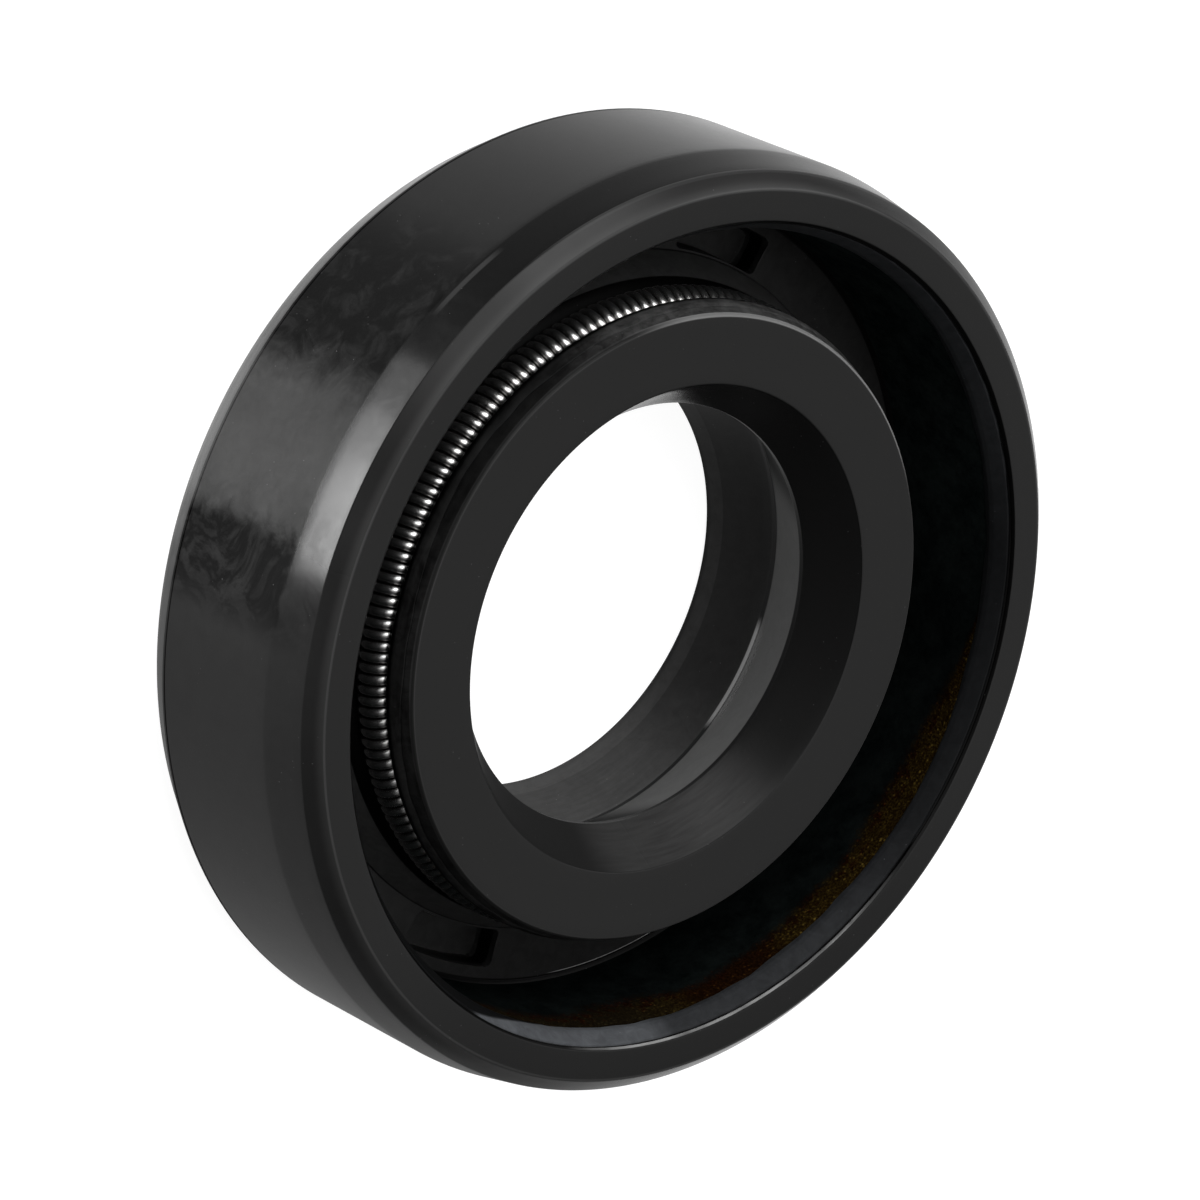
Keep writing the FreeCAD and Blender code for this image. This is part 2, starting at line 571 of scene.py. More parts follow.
        # Painted highlight: a thin bright line at the foot of the steel wall, on one stretch of the ring
        wall_foot_highlight = on(self.wall_foot_highlight) * on(self.wall_foot_highlight_seen) * self.wall_foot_highlight_tone
        return plain * (0.4 + 1.2 * look.mottle) + wall_foot_highlight

    def edge_highlights(self, place: Place) -> Value:
        """Painted highlights on the edges: the rim's bead, the bevel, its lower edge and the heel's outer
        edge.

        Args:
            place: The shaded point.

        Returns:
            The largest of their tones.
        """
        graph, on = place.graph, place.share
        # Noise breaks up the painted highlight on the bead
        wear_and_breakup = graph.rise(graph.noise(place.rolled(5.0, 2.0), 1.0, 3.0, 0.6), 0.3, 0.6)
        even, added = self.bead_highlight_tones
        bead = on(self.bead) * on(self.bead_highlight) * (even + added * wear_and_breakup)
        even, added = self.bevel_highlight_tones
        top = self.bevel_top_highlight_tone * graph.rise(place.height, 6.78, self.bevel.high_z)
        bevel = on(self.bevel) * (even + added * on(self.bevel_highlight) + top)
        line = on(self.bevel_edge) * on(self.bevel_edge_highlight) * self.bevel_edge_highlight_tone
        even, added = self.heel_edge_highlight_tones
        heel = on(self.heel_edge) * (even + added * on(self.heel_edge_highlight))
        return graph.largest(bead, bevel, line, heel)

    def specks(self, place: Place) -> Value:
        """Scattered specks of dust, as a share from 0 to 1.

        Args:
            place: The shaded point.

        Returns:
            The share.
        """
        graph = place.graph
        cluster = graph.rise(graph.noise(place.point, 0.7, 3.0, 0.5), 0.5, 0.65)
        return graph.rise(graph.cells(place.point, 4.5), 0.085, 0.04) * cluster

    def cover_tone(self, place: Place, look: Patterns) -> Value:
        """What haze and the painted reflection add to the cover: more haze on its lower half, less in the
        smears beside the reflection.

        The painted reflection lies between two lines across the cover, both moved by the same noise.

        Args:
            place: The shaded point.
            look: The patterns there.

        Returns:
            The tone added.
        """
        graph = place.graph
        haze = (0.35 + 0.9 * place.share(self.cover_hazy)) * (0.6 + 0.8 * look.cloud) * (1.0 - look.smear)
        # The painted reflection: a pale band between two ragged lines across the cover, below the taper
        ragged = self.reflection_ragged * (graph.noise(place.point, 0.9, 5.0, 0.65, 1.2) - 0.5)
        across = place.facing(self.reflection_angle - 90.0)
        edge = math.sin(self.reflection_half * DEGREE)
        lower = graph.rise(across + 0.7 * ragged, -edge - 0.04, -edge + 0.02)
        upper = graph.rise(across + ragged, edge + 0.08, edge - 0.05)
        near_side = graph.rise(place.facing(self.reflection_angle), 0.0, 0.2)
        below_taper = graph.rise(place.height, self.reflection_high_z, self.reflection_low_z)
        reflection = lower * upper * near_side * below_taper * (0.6 + 0.5 * look.cloud)
        return self.haze_tone * haze + self.reflection_tone * reflection

    def haze_and_highlight_on_wrap(self, place: Place, look: Patterns) -> Value:
        """What the pale bluish haze and painted light add to the wrap: a painted highlight crescent on one
        side, painted glints and thin haze further round, and painted shade on the shaded side.

        Args:
            place: The shaded point.
            look: The patterns there.

        Returns:
            The tone added.
        """
        graph, on = place.graph, place.share
        # Painted highlight crescent and glints, and painted shade beyond the crescent on one side
        crescent = graph.rise(place.height + 2.6 * place.facing(98.0), 6.08, 6.2)
        pale = crescent * on(self.wrap_highlight) * self.wrap_highlight_tone
        thin = graph.largest(on(self.wrap_glints), on(self.wrap_far)) * self.wrap_glint_and_haze_tone
        shaded = 1.0 - 0.9 * (1.0 - crescent) * on(self.wrap_shaded)
        return (graph.largest(pale, thin) + self.wrap_tone) * shaded * (0.4 + 1.2 * look.mottle)

    def smears(self, place: Place) -> Value:
        """Veined greasy smears on both sides of the painted reflection, as a share from 0 to 1.

        Args:
            place: The shaded point.

        Returns:
            The share.
        """
        graph = place.graph
        veins = graph.noise(place.point, 0.5, 6.0, 0.62, 0.9)
        line = graph.rise(graph.math("ABSOLUTE", veins - 0.5), 0.11, 0.0)
        patch = graph.noise(place.point, 1.3, 5.0, 0.65, 0.6)
        upper = place.share(Sector(self.reflection_angle - 17.0, 6.0, 12.0)) * graph.rise(patch, 0.28, 0.56)
        lower = place.share(Sector(self.reflection_angle + 12.0, 4.5, 6.0))
        smear = graph.largest(upper, lower * graph.largest(line, 0.7 * graph.rise(patch, 0.35, 0.65)))
        return smear * graph.rise(place.height, 6.6, 6.5)

    def roughness(self, place: Place, look: Patterns) -> Value:
        """How matt each zone is: smooth on the cover and in the bore, matt where cut or hazy.

        Args:
            place: The shaded point.
            look: The patterns there.

        Returns:
            The roughness.
        """
        on = place.share
        rough = 0.28 + 0.08 * look.cloud + 0.37 * self.trimmed(place) + 0.3 * on(self.flank)
        rough = rough - 0.08 * self.bore(place) + 0.5 * on(self.oil_side) * on(self.oil_dull)
        rough = rough + on(self.cover) * (0.3 * on(self.cover_dull) - 0.08)
        return rough + 0.25 * on(self.air_side) + 0.3 * on(self.wrap)

    def film(self, place: Place, look: Patterns) -> Value:
        """The weight of the glossy skin: thin on the cover, and gone where it is greasy or bare.

        Args:
            place: The shaded point.
            look: The patterns there.

        Returns:
            The weight, from 0 to 1.
        """
        on = place.share
        polished = on(self.polished) * on(self.neck_polished)
        rubbed = on(self.rubbed) * on(self.taper_rubbed) * self.rubbed_film
        kept = 1.0 - look.smear * (1.0 - 0.7 * on(self.taper))
        kept = kept * (1.0 - 0.9 * on(self.taper) * on(self.taper_bare))
        kept = kept * (1.0 - 0.8 * on(self.bevel) * on(self.bevel_bare))
        cover = on(self.cover) * self.cover_film * kept * (0.7 + 0.2 * look.cloud + 0.4 * look.mottle)
        return place.graph.largest(polished, rubbed, cover + self.trimmed(place) * self.trimmed_film)

    def relief(self, place: Place, look: Patterns) -> Value:
        """The grain of the surface: coarser where cut, streaked in the bore and on the flank.

        Args:
            place: The shaded point.
            look: The patterns there.

        Returns:
            The height, about 0 to 2.
        """
        grained = 0.5 * look.fine + 0.5 * look.grain * (0.4 + self.trimmed(place))
        return grained + look.streak * (0.6 * self.bore(place) + 1.5 * place.share(self.flank))


@dataclass(frozen=True)
class StainedSteel(Finish):
    """Dark phosphated sheet steel with a brown and gold band of bonding agent below the rubber wrap.

    Each pair of colours is the dark and the bright one of a stain.

    Attributes:
        wrap_z: Height of the wrap's lower edge, in millimetres.
        run_down: Where the agent ran furthest down the wall.
        run_side: Where it ran down a little.
        gap: Where its pale core is missing.
        painted_light_side: Where light is painted on the steel, on the side that the lights hardly reach.
        reaches: How far down it reaches, in millimetres: everywhere, and added at each run.
    """

    wrap_z: float = 6.36
    run_down: Sector = Sector(10.0, 12.0, 20.0)
    run_side: Sector = Sector(66.0, 12.0, 38.0)
    gap: Sector = Sector(45.0, 5.0, 6.0)
    painted_light_side: Sector = Sector(170.0, 20.0, 45.0)
    reaches: tuple[float, float, float] = (0.12, 1.2, 0.95)
    rust: tuple[Colour, Colour] = ((0.003, 0.0009, 0.0004, 1.0), (0.024, 0.0072, 0.002, 1.0))
    gold: tuple[Colour, Colour] = ((0.0045, 0.0022, 0.0006, 1.0), (0.08, 0.054, 0.012, 1.0))
    olive: tuple[Colour, Colour] = ((0.0034, 0.0024, 0.0013, 1.0), (0.021, 0.0165, 0.0075, 1.0))
    bare: tuple[Colour, Colour] = ((0.001, 0.0015, 0.0015, 1.0), (0.0042, 0.0056, 0.0054, 1.0))

    def shade(self, graph: Graph) -> dict:
        """Colour and gloss of the steel and of the stain on it.

        Args:
            graph: The material's graph.

        Returns:
            Socket names and their values.
        """
        place = Place.on(graph)
        fine = graph.noise(place.point, 6.0, 5.0, 0.7)
        speck = graph.noise(place.point, 14.0, 4.0, 0.75)
        uneven = graph.rise(graph.noise(place.point, 3.0, 4.0, 0.65, 0.5), 0.35, 0.65)
        depth = self.depth(place)
        stain = graph.rise(depth + 0.7 * (fine - 0.5), 1.2, 0.7)
        core = graph.rise(depth + 0.9 * (uneven - 0.5), 1.1, 0.6) * (1.0 - 0.85 * place.share(self.gap))
        glint = graph.rise(graph.cells(place.point, 6.0), 0.3, 0.12) * uneven
        bright = 0.55 * graph.rise(speck, 0.4, 0.75) * (0.4 + 0.6 * uneven) + 0.9 * glint
        rust, gold, olive = (graph.mix(bright, *pair) for pair in (self.rust, self.gold, self.olive))
        agent = graph.mix(core, rust, graph.mix(place.share(self.run_down), gold, olive))
        return {
            "Base Color": graph.mix(stain, self.steel(place, fine), agent),
            "Specular IOR Level": 0.0,
            "Roughness": 0.5 + 0.2 * fine - 0.05 * stain,
            "Normal": graph.bump(fine + stain * speck, 0.012 * MM, 0.9),
        }

    def depth(self, place: Place) -> Value:
        """How deep a point lies below the wrap, as a share of the agent's uneven reach there.

        Args:
            place: The shaded point.

        Returns:
            The share: 0 at the wrap, 1 where the agent ends.
        """
        wide = place.graph.noise(place.rolled(3.0, 0.8), 1.0, 5.0, 0.6)
        even, down, side = self.reaches
        reach = even + down * place.share(self.run_down) + side * place.share(self.run_side)
        return (self.wrap_z - place.height) / (reach * (0.7 + 0.6 * wide))

    def steel(self, place: Place, fine: Value) -> Value:
        """The colour of the bare steel: dark blue-grey patches, with painted light on the far side.

        Args:
            place: The shaded point.
            fine: Fine noise there.

        Returns:
            The colour.
        """
        graph = place.graph
        broad = graph.rise(graph.noise(place.point, 1.1, 5.0, 0.65), 0.35, 0.65)
        patchy = 0.4 * graph.rise(fine, 0.3, 0.7) + 0.6 * broad
        # Painted light on the far side of the steel
        return graph.scaled(graph.mix(patchy, *self.bare), 1.0 + 2.5 * place.share(self.painted_light_side))


@dataclass(frozen=True)
class DrawnWire(Finish):
    """Bright drawn spring wire with drawing marks, and painted shade on the inside of the coil.

    Attributes:
        coil_centre_r: Radius of the coil's centre line, in millimetres.
        coil_centre_z: Height of the coil's centre line, in millimetres.
        coil_r: Radius of the coil to the middle of the wire, in millimetres.
        inner_shade: Colour of the painted shade on the wire's inner half, towards the coil's middle.
        bright: Two colours of the wire outside the painted shade.
        shade_edge: Where the painted shade ends, in millimetres beyond the middle of the wire.
    """

    coil_centre_r: float
    coil_centre_z: float
    coil_r: float
    inner_shade: Colour = (0.06, 0.055, 0.05, 1.0)
    bright: tuple[Colour, Colour] = ((0.52, 0.52, 0.53, 1.0), (0.68, 0.67, 0.65, 1.0))
    shade_edge: tuple[float, float] = (0.03, 0.14)

    def shade(self, graph: Graph) -> dict:
        """Colour and gloss of the wire.

        Args:
            graph: The material's graph.

        Returns:
            Socket names and their values.
        """
        place = Place.on(graph)
        marks = graph.noise(place.point, 14.0, 3.0, 0.6)
        tint = graph.noise(place.point, 1.1, 3.0, 0.5)
        out = place.radius - self.coil_centre_r
        up = place.height - self.coil_centre_z
        # Painted shade on the wire's inner half, towards the coil's middle
        unshaded = graph.rise((out * out + up * up) ** 0.5 - self.coil_r, *self.shade_edge)
        return {
            "Base Color": graph.mix(unshaded, self.inner_shade, graph.mix(tint, *self.bright)),
            "Metallic": 0.99,
            "Roughness": 0.22 + 0.06 * marks,
            "Normal": graph.bump(marks, 0.001 * MM, 0.3),
        }


@dataclass(frozen=True)
class PaleBoard(Finish):
    """The plain pale board that the seal lies on, lit a little from within.

    Attributes:
        tones: Two colours of its faint grain.
        glow: How much it shines by itself.
    """

    tones: tuple[Colour, Colour] = ((0.2, 0.2, 0.2, 1.0), (0.23, 0.23, 0.23, 1.0))
    glow: float = 0.93

    def shade(self, graph: Graph) -> dict:
        """An even pale surface with a faint grain.

        Args:
            graph: The material's graph.

        Returns:
            Socket names and their values.
        """
        place = graph.out(graph.node("ShaderNodeTexCoord"), "Object")
        return {
            "Base Color": graph.mix(graph.noise(place, 900.0, 3.0, 0.5), *self.tones),
            "Roughness": 0.9,
            "Specular IOR Level": 0.1,
            "Emission Color": (1.0, 1.0, 1.0, 1.0),
            "Emission Strength": self.glow,
        }


@dataclass(frozen=True)
class Corner:
    """One corner of a section.

    Attributes:
        radius: Distance from the axis, in millimetres.
        height: Height over the back face, in millimetres.
        fillet: Radius of the rounding, in millimetres.
    """

    radius: float
    height: float
    fillet: float = 0.0


@dataclass(frozen=True)
class Bow:
    """A round stretch of a section.

    Attributes:
        radius: Distance of its centre from the axis, in millimetres.
        height: Height of its centre over the back face, in millimetres.
        reach: Its own radius, in millimetres.
        start: Angle at which it begins, in degrees from outwards.
        end: Angle at which it ends.
    """

    radius: float
    height: float
    reach: float
    start: float
    end: float

    def points(self, step: float) -> np.ndarray:
        """Points on the arc: centre plus reach times (cosine, sine) of evenly spaced angles.

        Args:
            step: Largest spacing, in millimetres.

        Returns:
            Radii and heights, one row a point.
        """
        length = self.reach * abs(self.end - self.start) * DEGREE
        angles = np.linspace(self.start, self.end, max(4, math.ceil(length / step)) + 1) * DEGREE
        centre = np.array([self.radius, self.height])
        return centre + self.reach * np.column_stack([np.cos(angles), np.sin(angles)])


@dataclass(frozen=True)
class Section:
    """A closed section of corners and round stretches, sampled into points.

    Attributes:
        parts: Corners and bows in order round the section.
        step: Largest spacing of the points on a straight run, in millimetres.
        round_share: Spacing on a bow, as a share of that.
        fillet_step: Turn between two points of a corner's rounding, in degrees.
    """

    parts: tuple[Corner | Bow, ...]
    step: float = 0.35
    round_share: float = 0.3
    fillet_step: float = 15.0

    def points(self) -> np.ndarray:
        """The whole section as points: every corner rounded by its fillet and every straight run divided.

        Returns:
            Radii and heights, one row a point, with no point repeated.
        """
        rough = [
            part.points(self.step) if isinstance(part, Bow) else self.at(part)[None, :] for part in self.parts
        ]
        pieces = []
        for i, part in enumerate(self.parts):
            if isinstance(part, Bow):
                pieces.append(part.points(self.step * self.round_share))
            else:
                pieces.append(self.rounded(rough[i - 1][-1], part, rough[(i + 1) % len(rough)][0]))
        runs = []
        for piece, following in zip(pieces, pieces[1:] + pieces[:1]):
            count = max(1, math.ceil(np.linalg.norm(following[0] - piece[-1]) / self.step))
            share = np.linspace(0.0, 1.0, count + 1)[1:-1, None]
            runs.append(np.vstack([piece, piece[-1] + share * (following[0] - piece[-1])]))
        line = np.vstack(runs)
        gap = np.linalg.norm(line - np.roll(line, -1, axis=0), axis=1)
        return line[gap > 1e-6]

    @staticmethod
    def at(corner: Corner) -> np.ndarray:
        """A corner as an array of its radius and height."""
        return np.array([corner.radius, corner.height])

    def rounded(self, before: np.ndarray, corner: Corner, after: np.ndarray) -> np.ndarray:
        """A corner's rounding: a circle that touches both sides before their middles.

        Args:
            before: The point that the section comes from.
            corner: The corner.
            after: The point that the section goes to.

        Returns:
            The points of the rounding, or the corner alone.
        """
        here = self.at(corner)
        back = (before - here) / np.linalg.norm(before - here)
        on = (after - here) / np.linalg.norm(after - here)
        half = math.acos(float(np.clip(back @ on, -1.0, 1.0))) / 2
        if corner.fillet <= 0 or half > 0.49 * math.pi:
            return here[None, :]
        room = 0.45 * min(np.linalg.norm(before - here), np.linalg.norm(after - here))
        reach = min(corner.fillet / math.tan(half), room)
        radius = reach * math.tan(half)
        middle = back + on
        centre = here + middle / np.linalg.norm(middle) * math.hypot(reach, radius)
        first, last = here + back * reach - centre, here + on * reach - centre
        turn = math.pi - 2 * half
        count = max(2, math.ceil(turn / (self.fillet_step * DEGREE)))
        share = np.linspace(0.0, 1.0, count + 1)[:, None]
        arc = (np.sin((1 - share) * turn) * first + np.sin(share * turn) * last) / math.sin(turn)
        return centre + arc


def ripple(angles: np.ndarray, waves: tuple[int, int], count: int, seed: int) -> np.ndarray:
    """An uneven line that closes on itself: a sum of sines with whole numbers of waves and random phases.

    Args:
        angles: Angles round the axis, in radians.
        waves: Fewest and most waves in a turn.
        count: How many sines are added.
        seed: Seed of the phases.

    Returns:
        Values of about -1 to 1, one an angle.
    """
    draw = np.random.default_rng(seed)
    number = draw.integers(waves[0], waves[1] + 1, count)[:, None]
    phase = draw.uniform(0, 2 * math.pi, count)[:, None]
    size = draw.uniform(0.4, 1.0, count)[:, None]
    total = (size * np.sin(number * angles[None, :] + phase)).sum(axis=0)
    return total / np.sqrt((size ** 2).sum())


def grid_object(name: str, places: np.ndarray, crease: float = 40.0) -> bpy.types.Object:
    """A closed skin over a grid of points that wraps round both ways.

    Args:
        name: The object's name.
        places: Points in metres, shaped (rows, columns, 3).
        crease: Edges that turn more than this many degrees stay sharp.

    Returns:
        The object, linked to the scene, with its faces outwards.
    """
    rows, columns = places.shape[:2]
    row, column = np.meshgrid(np.arange(rows) * columns, np.arange(columns), indexing="ij")
    below, beside = np.roll(row, -1, axis=0), np.roll(column, -1, axis=1)
    corners = (row + column, row + beside, below + beside, below + column)
    faces = np.stack([c.ravel() for c in corners], axis=1)
    points = places.reshape(-1, 3)
    a, b, c, d = (points[faces[:, i]] for i in range(4))
    volume = np.einsum("ij,ij->i", a, np.cross(b, c) + np.cross(c, d)).sum()
    if volume < 0:
        faces = faces[:, ::-1]
    mesh = bpy.data.meshes.new(name)
    mesh.vertices.add(len(points))
    mesh.vertices.foreach_set("co", points.astype(np.float32).ravel())
    mesh.loops.add(faces.size)
    mesh.loops.foreach_set("vertex_index", faces.astype(np.int32).ravel())
    mesh.polygons.add(len(faces))
    mesh.polygons.foreach_set("loop_start", np.arange(0, faces.size, 4, dtype=np.int32))
    mesh.update(calc_edges=True)
    mesh.validate()
    mesh.shade_smooth()
    mesh.set_sharp_from_angle(angle=crease * DEGREE)
    made = bpy.data.objects.new(name, mesh)
    bpy.context.scene.collection.objects.link(made)
    return made


def turned_grid(radii: np.ndarray, heights: np.ndarray, angles: np.ndarray) -> np.ndarray:
    """Points of a turned surface: (radius cos angle, radius sin angle, height), in metres.

    Args:
        radii: Radii in millimetres, shaped (rows, columns).
        heights: Heights in millimetres, shaped (rows, columns).
        angles: Angles of the columns, in radians.

    Returns:
        The points, shaped (rows, columns, 3).
    """
    return np.stack([radii * np.cos(angles), radii * np.sin(angles), heights], axis=-1) * MM


@dataclass
class Piece:
    """What every piece shares: its finish and the node that it stands for."""

    def place(self, made: bpy.types.Object, node: str, slot: Slot, finish: Finish) -> bpy.types.Object:
        """Dresses a piece, sets it on the body and lets it stand for its node.

        Args:
            made: The piece.
            node: The node that it replaces.
            slot: The material slot of that node; not used.
            finish: The finish.

        Returns:
            The piece.
        """
        made.data.materials.append(finish.material())
        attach(made, "root")
        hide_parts(node)
        log.info("%s: %d faces", made.name, len(made.data.polygons))
        return made


@dataclass
class SteelInsert(Piece):
    """The pressed ring of L section.

    Attributes:
        thickness: Sheet thickness, in millimetres.
        bend: Inner radius of the bend, in millimetres.
        flange_inner_r: Inner radius of the flange, in millimetres.
        sheared: Rounding of the sheared edges, in millimetres.
        step: Largest spacing of the section's points, in millimetres.
        columns: Points round the axis.
    """

    thickness: float = 0.80
    bend: float = 0.35
    flange_inner_r: float = 9.20
    sheared: float = 0.04
    step: float = 0.25
    columns: int = 384

    def __post_init__(self) -> None:
        """Reads the wall's radius and heights from the frame."""
        low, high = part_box("steel_insert")
        self.outer_r = high[0] / MM
        self.inner_r = self.outer_r - self.thickness
        self.low_z = low[2] / MM
        self.top_z = high[2] / MM
        self.flange_z = self.low_z + self.thickness
        self.bend_r = self.inner_r - self.bend
        self.bend_z = self.flange_z + self.bend

    def build(self) -> bpy.types.Object:
        """The ring as a turned section with true bends and slightly rounded sheared edges.

        Returns:
            The ring.
        """
        section = Section(
            (
                Corner(self.inner_r, self.top_z, self.sheared),
                Corner(self.outer_r, self.top_z, self.sheared),
                Bow(self.bend_r, self.bend_z, self.bend + self.thickness, 0, -90),
                Corner(self.flange_inner_r, self.low_z, self.sheared),
                Corner(self.flange_inner_r, self.flange_z, self.sheared),
                Bow(self.bend_r, self.bend_z, self.bend, -90, 0),
            ),
            self.step,
        ).points()
        angles = np.linspace(0, 2 * math.pi, self.columns, endpoint=False)
        radii = np.repeat(section[:, :1], self.columns, axis=1)
        heights = np.repeat(section[:, 1:], self.columns, axis=1)
        made = grid_object("steel_ring", turned_grid(radii, heights, angles))
        return self.place(made, "steel_insert", Slot.INSERT, StainedSteel("stained_steel", self.top_z))


@dataclass
class GarterSpring(Piece):
    """The close-wound coil, joined to itself as a ring.

    Attributes:
        turns: Turns of wire round the ring.
        wire_r: Radius of the wire, in millimetres.
        coil_outer_r: Outer radius of the coil, in millimetres.
        points_in_turn: Points along one turn of the wire.
        points_round: Points round the wire.
        uneven: How much the turns differ, as a share of the coil's radius.
    """

    turns: int = 180
    wire_r: float = 0.15
    coil_outer_r: float = 0.63
    points_in_turn: int = 32
    points_round: int = 12
    uneven: float = 0.012

    def __post_init__(self) -> None:
        """Reads the ring's size from the frame."""
        low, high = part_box("garter_spring")
        self.ring_r = high[0] / MM - self.coil_outer_r
        self.ring_z = (low[2] + high[2]) / 2 / MM
        self.coil_r = self.coil_outer_r - self.wire_r

    def build(self) -> bpy.types.Object:
        """The wire: a circle carried square to a line that winds round the coil's ring.

        The line is the centre ring plus the coil's radius times a direction that turns with the winding. The
        circle lies in the plane of that direction, made square to the line's run, and of its cross product
        with the run.

        Returns:
            The wire.
        """
        count = self.turns * self.points_in_turn
        around = np.linspace(0, 2 * math.pi, count, endpoint=False)
        wind = -around * self.turns
        coil_r = self.coil_r * (1.0 + self.uneven * ripple(around, (20, 160), 12, 5))
        outwards = np.stack([np.cos(around), np.sin(around), np.zeros(count)], axis=1)
        upwards = np.array([0.0, 0.0, 1.0])
        side = np.cos(wind)[:, None] * outwards + np.sin(wind)[:, None] * upwards
        line = self.ring_r * outwards + self.ring_z * upwards + coil_r[:, None] * side
        run = np.roll(line, -1, axis=0) - np.roll(line, 1, axis=0)
        run /= np.linalg.norm(run, axis=1)[:, None]
        side -= (side * run).sum(axis=1)[:, None] * run
        side /= np.linalg.norm(side, axis=1)[:, None]
        across = np.cross(run, side)
        spin = np.linspace(0, 2 * math.pi, self.points_round, endpoint=False)
        cosine, sine = np.cos(spin)[None, :, None], np.sin(spin)[None, :, None]
        circle = self.wire_r * (cosine * side[:, None, :] + sine * across[:, None, :])
        places = (line[:, None, :] + circle) * MM
        made = grid_object("spring_coil", places, crease=80.0)
        finish = DrawnWire("drawn_wire", self.ring_r, self.ring_z, self.coil_r)
        return self.place(made, "garter_spring", Slot.SPRING, finish)


